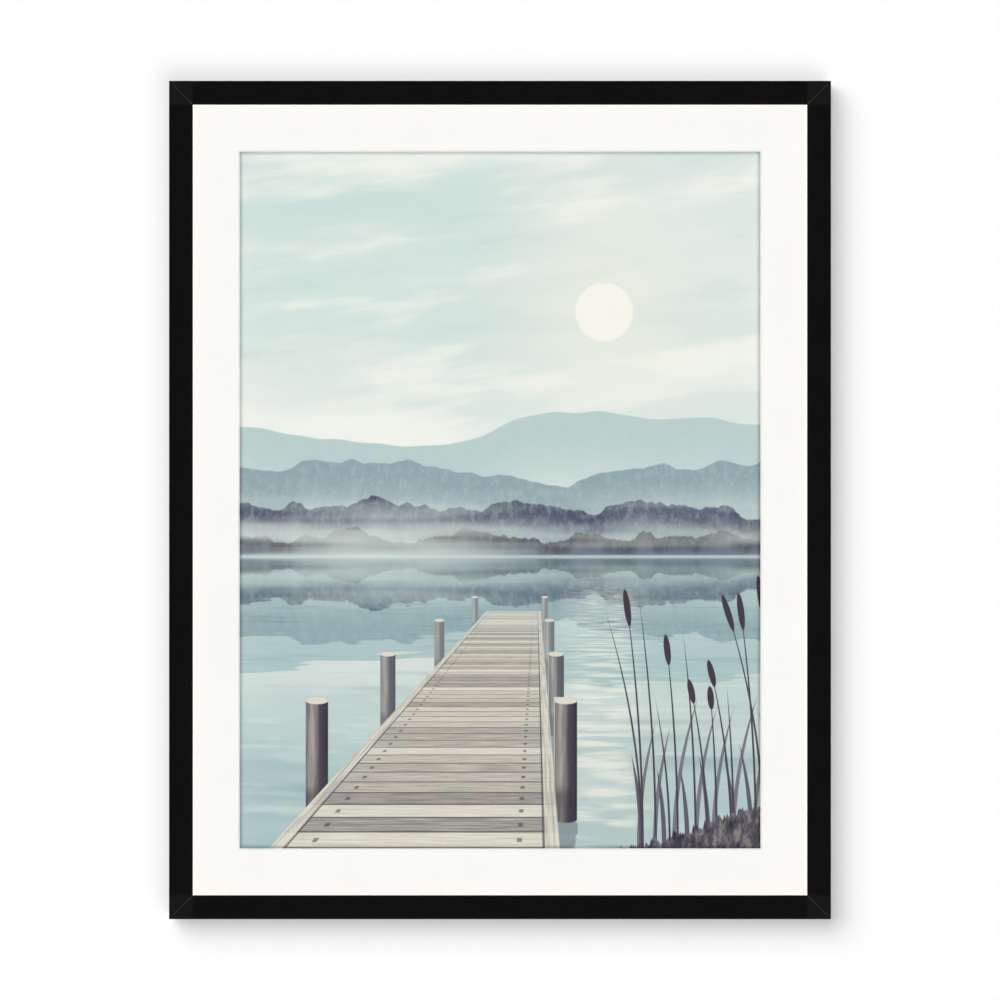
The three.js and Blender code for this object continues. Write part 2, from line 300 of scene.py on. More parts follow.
def fibre_board():
    """Medium density fibreboard: smooth pressed face, fine fibres and darker specks."""
    m = Finish("fibre board")
    x, y, z = m.place()
    point = m.vector(x, y, z)
    fibres = m.noise(m.vector(x, y, z), scale=900, detail=4, roughness=0.7)
    cloud = m.noise(point, scale=11, detail=3)
    specks = m.noise(m.vector(x * 0.6, y, z), scale=420, detail=2).ease(0.64, 0.72)
    colour = m.ramp(fibres, (0.3, ink("8a6543")), (0.5, ink("a27b55")), (0.7, ink("b58e67")))
    colour = m.mix(cloud.ease(0.35, 0.7) * 0.35, colour, ink("92704e"))
    colour = m.mix(specks * 0.5, colour, ink("5f432b"))
    return m.surface(
        Base_Color=colour, Roughness=0.58 + 0.2 * fibres, Specular_IOR_Level=0.35,
        Normal=m.bump(fibres, 0.3, 0.08 * MM))


def steel(name, colour, shade, rough, streak_x, streak_z):
    """Rolled sheet steel, its fine streaks drawn out along the strip."""
    m = Finish(name)
    x, y, z = m.place()
    streaks = m.noise(m.vector(x * streak_x, y * 900, z * streak_z), detail=3, roughness=0.6)
    stains = m.noise(m.vector(x, y, z), scale=260, detail=3)
    return m.surface(
        Base_Color=m.mix(stains.ease(0.35, 0.75), colour, shade),
        Metallic=1, Roughness=rough + 0.16 * streaks + 0.1 * stains,
        Normal=m.bump(streaks, 0.15, 0.03 * MM))


def pad_rubber():
    m = Finish("pad rubber")
    x, y, z = m.place()
    skin = m.noise(m.vector(x, y, z), scale=2600, detail=2)
    dust = m.noise(m.vector(x, y, z), scale=300, detail=3).ease(0.5, 0.8)
    return m.surface(
        Base_Color=m.mix(dust * 0.5, ink("262521"), ink("4a4840")),
        Roughness=0.62 + 0.2 * skin, Specular_IOR_Level=0.4,
        Normal=m.bump(skin, 0.3, 0.05 * MM))


# The printed picture: a misty lake, wooded hills behind it and a boarded jetty in front.
# Its places are in widths of the window: across is 0 in the middle, up is 0 at the foot.

PRINT_TOP = WINDOW_HEIGHT / WINDOW_WIDTH
SHORE = 0.56  # height of the far shore
VANISHING = 0.07  # where along the shore the jetty points
WATER_DROP = 1.16  # how far the water is below the eye, where the boards are 1 below it
SUN_ACROSS = 0.2
SUN_UP = 1.03
JETTY_LEFT = 0.42  # how far to the left of the eye the jetty's middle is, in lengths of a board
POST_SIDES = (-0.97, 0.13)  # from the eye, in the same measure
POST_RUNS = (8.2, 5.2, 3.4, 2.3)
POST_RADIUS = 0.05
POST_TOP = 0.62  # below the eye
POST_LENGTH = (WATER_DROP - POST_TOP) / POST_RADIUS  # in half widths of a post, down to the water
CAP_TILT = 0.32
REEDS_LEFT = 0.25

# Height above the shore, swing, width of the swings, detail, colour, colour in its mist
HILLS = (
    (0.250, 0.085, 1.9, 3, "b8cdcb", "dfe9e2"),
    (0.170, 0.075, 2.7, 4, "8fa5ac", "cbdad6"),
    (0.098, 0.060, 3.9, 5, "50536a", "a9bbbe"),
    (0.040, 0.030, 8.0, 6, "29242f", "6f7886"),
)


def sky(m, across, up):
    """Soft teal, paler towards the hills, with long streaks of thin cloud and a veiled sun."""
    height = (up - SHORE) / (PRINT_TOP - SHORE)
    colour = m.ramp(height, (0, ink("f6f4ea")), (0.3, ink("eef1e9")),
                    (0.62, ink("e3ebe5")), (1, ink("d8e4df")))
    bands = m.noise(m.vector(across * 0.7 + 7.7, up * 3.6), "2D", detail=2)
    cirrus = m.noise(m.vector(across * 1.7 + up * 1.1, up * 8.5 - across * 1.2), "2D",
                     detail=4, roughness=0.58)
    colour = m.mix(bands.ease(0.42, 0.72) * 0.5, colour, ink("bcd6d2"))
    colour = m.mix(cirrus.ease(0.46, 0.7) * 0.8, colour, ink("f2f4eb"))
    colour = m.mix(cirrus.ease(0.44, 0.3) * 0.3, colour, ink("b2cdcb"))
    away = ((across - SUN_ACROSS) ** 2 + (up - SUN_UP) ** 2) ** 0.5
    glow = away.ease(0.42, 0.03) ** 2
    disc = away.ease(0.058, 0.053)
    colour = m.mix(glow * 0.55, colour, ink("f4f2e4"))
    return m.mix(disc * 0.75, colour, ink("fbf8ec"))


def hills(m, colour, across, up):
    """Four ridges, each nearer, darker and more jagged than the one behind it."""
    trees = m.noise(m.vector(across * 70, up * 45), "2D", detail=2, roughness=0.75)
    lit = trees.ease(0.4, 0.75)
    above = up - SHORE
    for number, (height, swing, width, detail, far, mist) in enumerate(HILLS):
        line = m.noise(across * width + number * 5.3, "1D", detail=detail,
                       roughness=0.42 + 0.06 * number)
        depth = line * (swing * 2.4) + (height - swing * 1.2) - above
        body = m.mix(depth.ease(height * 0.1, height), ink(far), ink(mist))
        body = m.mix(lit * (0.06 + 0.12 * number), body, ink(mist))
        colour = m.mix(depth.ease(-0.0012, 0.0024), colour, body)
    fog = m.noise(m.vector(across * 1.4, up * 17), "2D", detail=2)
    low = above.ease(0.16, 0.0) * fog.ease(0.38, 0.7)
    return m.mix(low * 0.75, colour, ink("dbe6df"))


def jetty(m, colour, run, side, below):
    """Boards laid across, seen in perspective. Run is the distance out, side the offset."""
    pitch = 0.105
    count = run / pitch
    part = m.math("FRACT", count)
    number = m.math("FLOOR", count)
    chance = m.node("TexWhiteNoise", {"noise_dimensions": "1D"}, {"W": number})
    grain = m.noise(m.vector(side * 5 + number * 3.1, count * 13), "2D", detail=3, roughness=0.65)
    tone = 0.25 + 0.42 * grain + 0.3 * chance
    wood = m.ramp(tone, (0.15, ink("4f4958")), (0.42, ink("8b8685")),
                  (0.62, ink("c9c5b6")), (0.85, ink("ebe9da")))
    sharp = below.ease(0.03, 0.2)
    gap = m.math("MAXIMUM", part.ease(0.09, 0.03), part.ease(0.95, 0.99)) * (0.25 + 0.75 * sharp)
    wood = m.mix(gap * 0.85, wood, ink("3f3b4a"))
    off = abs(side)
    nails = abs(off - 0.36).ease(0.012, 0.006) * abs(part - 0.5).ease(0.16, 0.1) * sharp
    wood = m.mix(nails * 0.7, wood, ink("3f3b4a"))
    kerb = off.ease(0.445, 0.452)
    streaks = m.noise(m.vector(side * 90, run * 2.5), "2D", detail=2).ease(0.35, 0.7)
    wood = m.mix(kerb * 0.85, wood, m.mix(streaks, ink("dedbcd"), ink("b5b0a7")))
    wood = m.mix(off.ease(0.438, 0.443) * off.ease(0.452, 0.447) * 0.8, wood, ink("4a4655"))
    wood = m.mix(below.ease(0.2, 0.04) * 0.55, wood, ink("c3cfcb"))
    on = off.ease(0.503, 0.497) * run.ease(9.7, 9.5)
    return m.mix(on, colour, wood)


def nearest_post(m, across, up):
    """Where a point is on the post in front: across, down and the post's haze."""
    found = m.vector(9, 0)
    for run in POST_RUNS:
        for side in POST_SIDES:
            turn = m.math("MULTIPLY_ADD", across, run / POST_RADIUS,
                          -(VANISHING * run + side) / POST_RADIUS)
            drop = m.math("MULTIPLY_ADD", up, -run / POST_RADIUS,
                          (SHORE * run - POST_TOP) / POST_RADIUS)
            here = m.math("COMPARE", turn, 0, 1.05) * m.math("GREATER_THAN", drop, 0)
            this = m.vector(turn, drop, max(0, 0.6 - 1.6 / run))
            found = m.node("Mix", {"data_type": "VECTOR"}, {0: here, 4: found, 5: this}, 1)
    return m.split(found)


def posts(m, colour, across, up, shift):
    """Round posts beside the jetty, lit from the left, with sawn tops, mirrored in the water."""
    turn, drop, haze = nearest_post(m, across, up)
    mirrored = (abs(turn + 30 * shift).ease(1.0, 0.8) * m.math("GREATER_THAN", drop, POST_LENGTH)
                * drop.ease(2.05 * POST_LENGTH, 1.4 * POST_LENGTH))
    colour = m.mix(mirrored * 0.6, colour, ink("5b6672"))
    grain = m.noise(m.vector(across * 170, up * 12), "2D", detail=2).ease(0.35, 0.8)
    shade = m.ramp(turn * 0.5 + 0.5, (0, ink("787373")), (0.3, ink("aaa69c")),
                   (0.62, ink("4b4552")), (1, ink("292433")))
    shade = m.mix(grain * 0.45, shade, ink("403a49"))
    wet = drop.ease(0.7 * POST_LENGTH, 0.82 * POST_LENGTH)
    shade = m.mix(wet * 0.6, shade, ink("332e3d"))
    shade = m.mix(haze, shade, ink("b9c7c6"))
    bulge = m.math("SQRT", m.math("MAXIMUM", 1 - turn ** 2, 0)) * CAP_TILT
    under_top = (drop + bulge - CAP_TILT).ease(-0.05, 0.05)
    body = abs(turn).ease(1.02, 0.96) * (POST_LENGTH + bulge - drop).ease(-0.05, 0.05)
    colour = m.mix(body * under_top, colour, shade)
    tilt = turn ** 2 + ((drop - CAP_TILT) / CAP_TILT) ** 2
    cap = m.mix(haze, ink("dcd8ca"), ink("c9d2cd"))
    return m.mix(tilt.ease(1.1, 0.9), colour, cap)


def reed_row(m, colour, across, up, lean, pitch, tall, width, paint, heads=False):
    """A row of stems that bend alike, each with its own height and its own place in the row."""
    count = (across - REEDS_LEFT - lean * up ** 2) / pitch
    number = m.math("FLOOR", count)
    chance = m.node("TexWhiteNoise", {"noise_dimensions": "1D"}, {"W": number + 31 * lean})
    other = m.math("FRACT", chance * 9.7)
    rise = up / (tall * (0.55 + 0.45 * chance))
    off = abs(count - number - 0.3 - 0.4 * other) * pitch
    grown = m.math("GREATER_THAN", count, 0)
    stem = (width * (1 - rise ** 3) - off).ease(-0.0004, 0.0006) * grown
    colour = m.mix(stem, colour, ink(paint))
    if not heads:
        return colour
    head = (off / 0.0064) ** 2 + ((rise - 0.9) / 0.07) ** 2
    bears = grown * m.math("GREATER_THAN", other, 0.35)
    return m.mix(head.ease(1.15, 0.85) * bears, colour, ink("40363f"))


def reeds(m, colour, across, up):
    """Bent leaves and stems with seed heads at the lower right corner."""
    colour = reed_row(m, colour, across, up, 0.55, 0.036, 0.30, 0.0042, "77747c")
    colour = reed_row(m, colour, across, up, -0.6, 0.043, 0.27, 0.0046, "5d5966")
    colour = reed_row(m, colour, across, up, -0.14, 0.037, 0.56, 0.0022, "46414f", heads=True)
    return reed_row(m, colour, across, up, -0.34, 0.055, 0.52, 0.0022, "46414f", heads=True)


def bank(m, colour, across, up):
    """A grassy hummock in the corner that the reeds grow from."""
    tufts = m.noise(across * 46, "1D", detail=3, roughness=0.75)
    moss = m.noise(m.vector(across * 60, up * 26), "2D", detail=3, roughness=0.7)
    line = 0.002 + 0.085 * across.ease(0.22, 0.55) + 0.05 * (tufts - 0.5)
    ground = m.ramp(moss, (0.3, ink("2f2a38")), (0.5, ink("504b55")), (0.7, ink("858380")))
    return m.mix((line - up).ease(-0.001, 0.004) * across.ease(0.2, 0.26), colour, ground)


def landscape(m):
    x, _, z = m.place()
    across = x / WINDOW_WIDTH
    up = (z - MIDDLE) / WINDOW_WIDTH + PRINT_TOP / 2
    below = SHORE - up
    near = m.math("MAXIMUM", below, 0.004)
    run = 1 / near
    side = (across - VANISHING) / near
    water = below.ease(0, 0.002)
    swell = m.noise(m.vector(side * 0.55, run * 2.3), "2D", detail=2)
    ripple = m.noise(m.vector(side * 2.2, run * 9), "2D", detail=3)
    shift = ((swell - 0.5) * 0.09 + (ripple - 0.5) * 0.03) * water * below.ease(0, 0.35)
    seen_across = across + shift * 0.5
    seen_up = SHORE + abs(below) * (1 + 0.12 * water) + shift
    colour = hills(m, sky(m, seen_across, seen_up), seen_across, seen_up)
    glint = ripple.ease(0.5, 0.78) * below.ease(0.02, 0.4)
    deep = m.mix(0.24 + 0.42 * below.ease(0, 0.6), colour, ink("8baeb1"))
    deep = m.mix(glint * 0.35, deep, ink("e3ece4"))
    deep = m.mix(swell.ease(0.55, 0.8) * 0.35, deep, ink("728f98"))
    colour = m.mix(water, colour, deep)
    colour = m.mix(abs(below).ease(0.006, 0.0) * 0.6, colour, ink("d8e4de"))
    path = abs(across - SUN_ACROSS + shift).ease(0.1, 0.02) * ripple.ease(0.42, 0.6)
    colour = m.mix(path * below.ease(0.01, 0.1) * 0.5, colour, ink("f3f2e4"))
    colour = posts(m, colour, across, up, shift)
    colour = jetty(m, colour, run, side + JETTY_LEFT, below)
    return bank(m, reeds(m, colour, across, up), across, up)


def printed_paper():
    """Matte photographic paper, printed on its face and white on its back and edges."""
    m = Finish("printed paper")
    x, y, z = m.place()
    tooth = m.noise(m.vector(x, y, z), scale=2400, detail=0)
    face = m.split(m.node("NewGeometry", output="Normal"))[1]
    speckle = m.mix((tooth - 0.5) * 0.1 + 0.01, landscape(m), ink("ffffff"))
    return m.surface(
        Base_Color=m.mix(face.ease(-0.4, -0.6), ink("f3f2ee"), speckle),
        Roughness=0.6 + 0.1 * tooth, Specular_IOR_Level=0.15,
        Normal=m.bump(tooth, 0.1, 0.03 * MM))


# Modelling

def add(name, operator, scale=(1, 1, 1), **settings):
    """A new primitive at its place, with nothing else selected."""
    bpy.ops.object.select_all(action="DESELECT")
    operator(**settings)
    piece = bpy.context.object
    piece.scale = scale
    piece.name = name
    piece.data.name = name
    bpy.ops.object.transform_apply(location=True, rotation=True, scale=True)
    return piece


def block(name, low, high):
    centre = [(a + b) / 2 for a, b in zip(low, high)]
    return add(name, bpy.ops.mesh.primitive_cube_add, size=1, location=centre,
               scale=[b - a for a, b in zip(low, high)])


def sheet(name, low, high, depth):
    """A flat upright sheet that faces the viewer, at the depth given."""
    return add(name, bpy.ops.mesh.primitive_plane_add, size=1, rotation=(math.pi / 2, 0, 0),
               location=((low.x + high.x) / 2, depth, (low.z + high.z) / 2),
               scale=(high.x - low.x, high.z - low.z, 1))


def edit(piece, kind, chosen, operator, **settings):
    """Runs one edit-mode operator on the faces, edges or vertices that are chosen by place."""
    bpy.ops.object.select_all(action="DESELECT")
    piece.select_set(True)
    bpy.context.view_layer.objects.active = piece
    bpy.ops.object.mode_set(mode="EDIT")
    bpy.ops.mesh.select_mode(type=kind)
    bpy.ops.mesh.select_all(action="DESELECT")
    form = bmesh.from_edit_mesh(piece.data)
    parts = {"FACE": form.faces, "EDGE": form.edges, "VERT": form.verts}[kind]
    for part in parts:
        corners = [part.co] if kind == "VERT" else [v.co for v in part.verts]
        part.select_set(bool(chosen(corners)))
    form.select_flush_mode()
    bmesh.update_edit_mesh(piece.data)
    operator(**settings)
    bpy.ops.object.mode_set(mode="OBJECT")


def everything(corners):
    return True


def lies(corners, x=None, y=None, z=None):
    """True if every corner lies on each plane that is given."""
    planes = [(i, plane) for i, plane in enumerate((x, y, z)) if plane is not None]
    return all(abs(c[i] - plane) < 0.01 * MM for c in corners for i, plane in planes)


def cut(piece, tool):
    """Takes the tool's shape out of the piece."""
    bpy.context.view_layer.objects.active = piece
    difference = piece.modifiers.new("cut", "BOOLEAN")
    difference.operation = "DIFFERENCE"
    difference.solver = "MANIFOLD"
    difference.object = tool
    bpy.ops.object.modifier_apply(modifier=difference.name)
    bpy.data.objects.remove(tool)


def finish_modifier(piece, kind, **settings):
    bpy.context.view_layer.objects.active = piece
    modifier = piece.modifiers.new(kind, kind)
    for name, value in settings.items():
        setattr(modifier, name, value)
    bpy.ops.object.modifier_apply(modifier=modifier.name)


def settle(piece, material, slot, *nodes, smooth=30):
    """Gives a finished piece its shading, its material and its slot, and hides the nodes that it
    stands for.
    """
    bpy.ops.object.select_all(action="DESELECT")
    piece.select_set(True)
    bpy.context.view_layer.objects.active = piece
    bpy.ops.object.transform_apply(location=True, rotation=True, scale=True)
    bpy.ops.object.shade_smooth_by_angle(angle=math.radians(smooth))
    finish_modifier(piece, "WEIGHTED_NORMAL", keep_sharp=True, weight=80)
    piece.data.materials.clear()
    piece.data.materials.append(material)
    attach(piece, "root")
    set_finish(piece, slot)
    if nodes:
        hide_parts(*nodes)


def copy_of(piece, name, matrix):
    """The piece again under another name, with its own mesh, moved by the matrix."""
    twin = piece.copy()
    twin.data = piece.data.copy()
    twin.name = name
    twin.data.name = name
    twin.data.transform(matrix)
    bpy.context.collection.objects.link(twin)
    return twin


def about_centre(turn):
    """Turns a piece made round x = 0, z = 0 and lifts it to the picture's centre."""
    return Matrix.Translation((0, 0, MIDDLE)) @ Matrix.Rotation(turn, 4, "Y")


# Each side of the frame: its name, length, distance from the centre, turn and points
SIDES = (
    ("top", WIDTH, HEIGHT / 2, 0, 3),
    ("right", HEIGHT, WIDTH / 2, math.pi / 2, 4),
    ("bottom", WIDTH, HEIGHT / 2, math.pi, 3),
    ("left", HEIGHT, WIDTH / 2, -math.pi / 2, 4),
)


def point_places(length, count):
    step = (length - 2 * RAIL_WIDTH) / count
    return [(i - (count - 1) / 2) * step for i in range(count)]


def v_slots(length, reach):
    """The kerfs that the wedges of both mitres leave in one rail's rear face."""
    apex, leg = 9.5 * MM, 5.5 * MM
    depth = REAR - 0.2 * MM - V_NAIL_HEIGHT - SLOT_ROOM
    outer, wide = apex - leg - SLOT_ROOM, apex + SLOT_ROOM
    narrow = apex - V_NAIL_THICKNESS - SLOT_ROOM
    for end in (-1, 1):
        for side_in, side_out, top_in, top_out in (
                (wide, outer, wide, narrow), (wide, narrow, wide, outer)):
            ends = sorted((end * (length / 2 - side_in), end * (length / 2 - side_out)))
            yield block("kerf", (ends[0], depth, reach - top_in),
                        (ends[1], REAR + MM, reach - top_out))


def point_slots(length, reach, count):
    low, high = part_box("point_top_1")
    for place in point_places(length, count):
        half = (high.x - low.x) / 2 + SLOT_ROOM
        yield block(
            "kerf", (place - half, low.y - SLOT_ROOM, reach - REBATE_WALL - MM),
            (place + half, high.y + SLOT_ROOM, reach - REBATE_WALL + POINT_BITE + SLOT_ROOM))


def nail_holes():
    for node in [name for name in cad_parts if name.startswith("nail_")]:
        low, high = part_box(node)
        centre = ((low.x + high.x) / 2, (low.y + high.y) / 2, (low.z + high.z) / 2 - MIDDLE)
        yield add("drill", bpy.ops.mesh.primitive_cylinder_add, vertices=16,
                  radius=NAIL_SHANK + SLOT_ROOM, depth=high.y - low.y + SLOT_ROOM,
                  location=centre, rotation=(math.pi / 2, 0, 0))


def moulding(name, length, reach, turn, points, material):
    """One rail: the lip, the web behind it, two mitres, its arrises and its kerfs."""
    inner = reach - RAIL_WIDTH
    wall = reach - REBATE_WALL
    behind = FRONT + LIP_THICKNESS
    rail = block(f"moulding_{name}", (-length / 2, FRONT, inner), (length / 2, behind, reach))
    edit(rail, "FACE", everything, bpy.ops.mesh.bisect,
         plane_co=(0, 0, wall), plane_no=(0, 0, 1))
    edit(rail, "FACE", lambda c: lies(c, y=behind) and min(v.z for v in c) > wall - 0.01 * MM,
         bpy.ops.mesh.extrude_region_move,
         TRANSFORM_OT_translate={"value": (0, RAIL_DEPTH - LIP_THICKNESS, 0)})
    for end in (-1, 1):
        corner = (end * (length / 2 - MITRE_GAP / 2), 0, reach)
        edit(rail, "FACE", everything, bpy.ops.mesh.bisect, plane_co=corner,
             plane_no=(end, 0, -1), use_fill=True, clear_outer=True)
    arrises = (
        (lambda c: lies(c, y=FRONT) and abs(c[0].z - c[1].z) > MM, MITRE_CHAMFER, 1),
        (lambda c: lies(c, y=FRONT, z=reach), OUTER_ROUNDING, 5),
        (lambda c: lies(c, y=FRONT, z=inner), SIGHT_ROUNDING, 5),
        (lambda c: lies(c, y=REAR, z=reach), REAR_ROUNDING, 3),
    )
    for chosen, width, segments in arrises:
        edit(rail, "EDGE", chosen, bpy.ops.mesh.bevel, offset=width, segments=segments,
             affect="EDGES")
    tools = [*v_slots(length, reach), *point_slots(length, reach, points)]
    if name == "top":
        tools += nail_holes()
    for tool in tools:
        cut(rail, tool)
    rail.data.transform(about_centre(turn))
    settle(rail, material, "frame_black", f"rail_{name}")


def flexible_point():
    """A steel bar with a pointed tip at the top and a drilled end that lifts a little."""
    low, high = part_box("point_top_2")
    half = (high.x - low.x) / 2
    free = low.z - MIDDLE
    tip = high.z - MIDDLE
    shoulder = tip - POINT_TIP
    bar = block("spring_point", (-half, low.y, free), (half, high.y, shoulder))
    edit(bar, "FACE", lambda c: lies(c, z=shoulder), bpy.ops.mesh.extrude_region_move,
         TRANSFORM_OT_translate={"value": (0, 0, POINT_TIP)})
    edit(bar, "FACE", lambda c: lies(c, z=tip), bpy.ops.transform.resize,
         value=(0.18, 1, 1), center_override=(0, low.y, tip))
    edit(bar, "EDGE", lambda c: lies(c, z=free) and lies(c, x=c[0].x) and abs(c[0].x) > MM,
         bpy.ops.mesh.bevel, offset=1.2 * MM, segments=4, affect="EDGES")
    drill = add("drill", bpy.ops.mesh.primitive_cylinder_add, vertices=24, radius=POINT_HOLE,
                depth=4 * MM, location=(0, low.y, free + half), rotation=(math.pi / 2, 0, 0))
    cut(bar, drill)
    bend = free + 6.5 * MM
    edit(bar, "FACE", everything, bpy.ops.mesh.bisect, plane_co=(0, 0, bend),
         plane_no=(0, 0, 1))
    edit(bar, "VERT", lambda c: c[0].z < bend - 0.01 * MM, bpy.ops.transform.rotate,
         value=-math.asin(POINT_LIFT / (bend - free)), orient_axis="X",
         center_override=(0, low.y, bend))
    finish_modifier(bar, "BEVEL", width=0.06 * MM, segments=2, limit_method="ANGLE",
                    angle_limit=math.radians(40))
    return bar


def flexible_points(material):
    pattern = flexible_point()
    reach_of_pattern = HEIGHT / 2
    for side, length, reach, turn, count in SIDES:
        for number, place in enumerate(point_places(length, count), 1):
            shift = Matrix.Translation((place, 0, reach - reach_of_pattern))
            point = copy_of(pattern, f"spring_point_{side}_{number}", about_centre(turn) @ shift)
            settle(point, material, "spring_steel", f"point_{side}_{number}")
    bpy.data.objects.remove(pattern)


def window_mat(face, core):
    """Board with a window whose edge is cut at 45 degrees, showing the white core."""
    low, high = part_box("window_mat")
    thickness = high.y - low.y
    width, height = high.x - low.x, high.z - low.z
    border = (width - WINDOW_WIDTH) / 2
    mat = sheet("bevelled_mat", low, high, high.y)
    edit(mat, "FACE", everything, bpy.ops.mesh.inset, thickness=border)
    edit(mat, "FACE", lambda c: max(abs(v.x) for v in c) < width / 2 - MM,
         bpy.ops.mesh.delete, type="FACE")
    edit(mat, "FACE", everything, bpy.ops.mesh.extrude_region_move,
         TRANSFORM_OT_translate={"value": (0, -thickness, 0)})
    edit(mat, "EDGE", lambda c: lies(c, y=low.y) and max(abs(v.x) for v in c) < width / 2 - MM
         and max(abs(v.z - MIDDLE) for v in c) < height / 2 - MM,
         bpy.ops.mesh.bevel, offset=thickness - WINDOW_LIP, segments=1, affect="EDGES")
    edit(mat, "FACE", everything, bpy.ops.mesh.normals_make_consistent, inside=False)
    settle(mat, face, "mat_board", "window_mat", smooth=5)
    mat.data.materials.append(core)
    for part in mat.data.polygons:
        part.material_index = 0 if abs(part.normal.y) > 0.9 else 1


def sawtooth_hanger(name, material):
    """A stamped strip: two feet, a raised middle and a lower edge of teeth."""
    low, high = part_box(f"hanger_{name}")
    middle = (low.x + high.x) / 2
    strip = sheet(f"sawtooth_{name}", low, high, low.y)
    half = (high.x - low.x) / 2
    bends = [half - HANGER_FOOT, half - HANGER_FOOT - HANGER_RAMP]
    teeth = [(i - TEETH / 2) * TOOTH_PITCH for i in range(TEETH + 1)]
    notches = [t + TOOTH_PITCH / 2 for t in teeth[:-1]]
    for place in sorted({*bends, *[-b for b in bends], *teeth, *notches}):
        edit(strip, "FACE", everything, bpy.ops.mesh.bisect,
             plane_co=(middle + place, 0, 0), plane_no=(1, 0, 0))
    edit(strip, "VERT",
         lambda c: lies(c, z=low.z) and min(abs(c[0].x - middle - n) for n in notches) < 0.1 * MM,
         bpy.ops.transform.translate, value=(0, 0, TOOTH_DEPTH))
    edit(strip, "VERT", lambda c: abs(c[0].x - middle) < bends[1] + 0.1 * MM,
         bpy.ops.transform.translate, value=(0, HANGER_RISE, 0))
    edit(strip, "VERT", lambda c: abs(abs(c[0].x - middle) - half) < 0.1 * MM,
         bpy.ops.mesh.bevel, offset=3.2 * MM, segments=5, affect="VERTICES")
    finish_modifier(strip, "SOLIDIFY", thickness=HANGER_THICKNESS, offset=-1,
                    use_even_offset=True)
    edit(strip, "FACE", everything, bpy.ops.mesh.normals_make_consistent, inside=False)
    finish_modifier(strip, "BEVEL", width=0.1 * MM, segments=2, limit_method="ANGLE",
                    angle_limit=math.radians(50))
    settle(strip, material, "plated_steel", f"hanger_{name}")


def tack(node, material):
    """A round-headed nail driven through a hanger's foot."""
    low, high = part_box(node)
    x, z = (low.x + high.x) / 2, (low.z + high.z) / 2
    under = high.y - 0.7 * MM
    length = under - low.y
    nail = add(f"tack_{node[5:]}", bpy.ops.mesh.primitive_cylinder_add, vertices=24,
               radius=NAIL_SHANK, depth=length, location=(x, low.y + length / 2, z),
               rotation=(math.pi / 2, 0, 0))
    edit(nail, "FACE", lambda c: lies(c, y=low.y), bpy.ops.transform.resize,
         value=(0.15, 1, 0.15), center_override=(x, low.y, z))
    edit(nail, "FACE", lambda c: lies(c, y=low.y), bpy.ops.transform.translate,
         value=(0, 0, 0))
    edit(nail, "FACE", lambda c: lies(c, y=under), bpy.ops.mesh.inset, thickness=0.0)
    edit(nail, "FACE", lambda c: lies(c, y=under) and len(c) > 4, bpy.ops.transform.resize,
         value=(NAIL_HEAD / NAIL_SHANK, 1, NAIL_HEAD / NAIL_SHANK),
         center_override=(x, under, z))
    edit(nail, "FACE", lambda c: lies(c, y=under) and len(c) > 4,
         bpy.ops.mesh.extrude_region_move,
         TRANSFORM_OT_translate={"value": (0, high.y - under, 0)})
    edit(nail, "EDGE", lambda c: lies(c, y=high.y), bpy.ops.mesh.bevel, offset=0.35 * MM,
         segments=4, affect="EDGES")
    settle(nail, material, "plated_steel", node)


def wall_pad(name, material):
    """A round rubber pad with a soft rim and a shallow dish in its face."""
    low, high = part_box(f"bumper_{name}")
    radius = (high.x - low.x) / 2
    centre = ((low.x + high.x) / 2, (low.y + high.y) / 2, (low.z + high.z) / 2)
    pad = add(f"wall_pad_{name}", bpy.ops.mesh.primitive_cylinder_add, vertices=48,
              radius=radius, depth=high.y - low.y, location=centre,
              rotation=(math.pi / 2, 0, 0))
    edit(pad, "EDGE", lambda c: lies(c, y=high.y), bpy.ops.mesh.bevel, offset=0.8 * MM,
         segments=5, affect="EDGES")
    edit(pad, "FACE", lambda c: lies(c, y=high.y), bpy.ops.mesh.inset, thickness=1.4 * MM)
    edit(pad, "FACE", lambda c: lies(c, y=high.y) and len(c) > 4, bpy.ops.mesh.inset,
         thickness=0.4 * MM, depth=-0.25 * MM)
    edit(pad, "EDGE", lambda c: lies(c, y=low.y), bpy.ops.mesh.bevel, offset=0.2 * MM,
         segments=2, affect="EDGES")
    settle(pad, material, "bumper_rubber", f"bumper_{name}")


def rear_board(material):
    low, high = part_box("back_board")
    panel = block("rear_board", low, high)
    edit(panel, "EDGE", everything, bpy.ops.mesh.bevel, offset=0.25 * MM, segments=2,
         affect="EDGES")
    settle(panel, material, "fibre_board", "back_board")


def dress(node, material):
    """A finer material on a solid whose shape is already right."""
    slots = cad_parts[node].data.materials
    slots.clear()
    slots.append(material)


# Stage, light and camera

WALL_SIZE = 9.0
FLOOR_LEVEL = BOTTOM - 0.5
VIEW_WIDTH = 850.5 * MM  # what the picture's width of 1000 px takes in at the frame's face
LENS = 135
SENSOR = 36
RING_LIGHTS = 4
RING_SLANT = 60  # degrees from straight on, so that the mat shades the print's edges


def seen_from_front(name, colour):
    """Matte white that shows only its outer side, so that the back can be looked at."""
    m = Finish(name)
    behind = m.node("NewGeometry", output="Backfacing")
    matte = m.node("BsdfDiffuse", None, {"Color": colour})
    clear = m.node("BsdfTransparent", None, {"Color": (1, 1, 1, 1)})
    return m.use(m.node("MixShader", None, {0: behind, 1: matte, 2: clear}))


def backdrop(name, location, rotation, colour):
    plane = add(name, bpy.ops.mesh.primitive_plane_add, size=WALL_SIZE, location=location,
                rotation=rotation)
    plane.data.materials.append(seen_from_front(name, colour))
    for ray in ("diffuse", "glossy", "transmission", "shadow"):
        setattr(plane, f"visible_{ray}", False)
    plane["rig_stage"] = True
    return plane


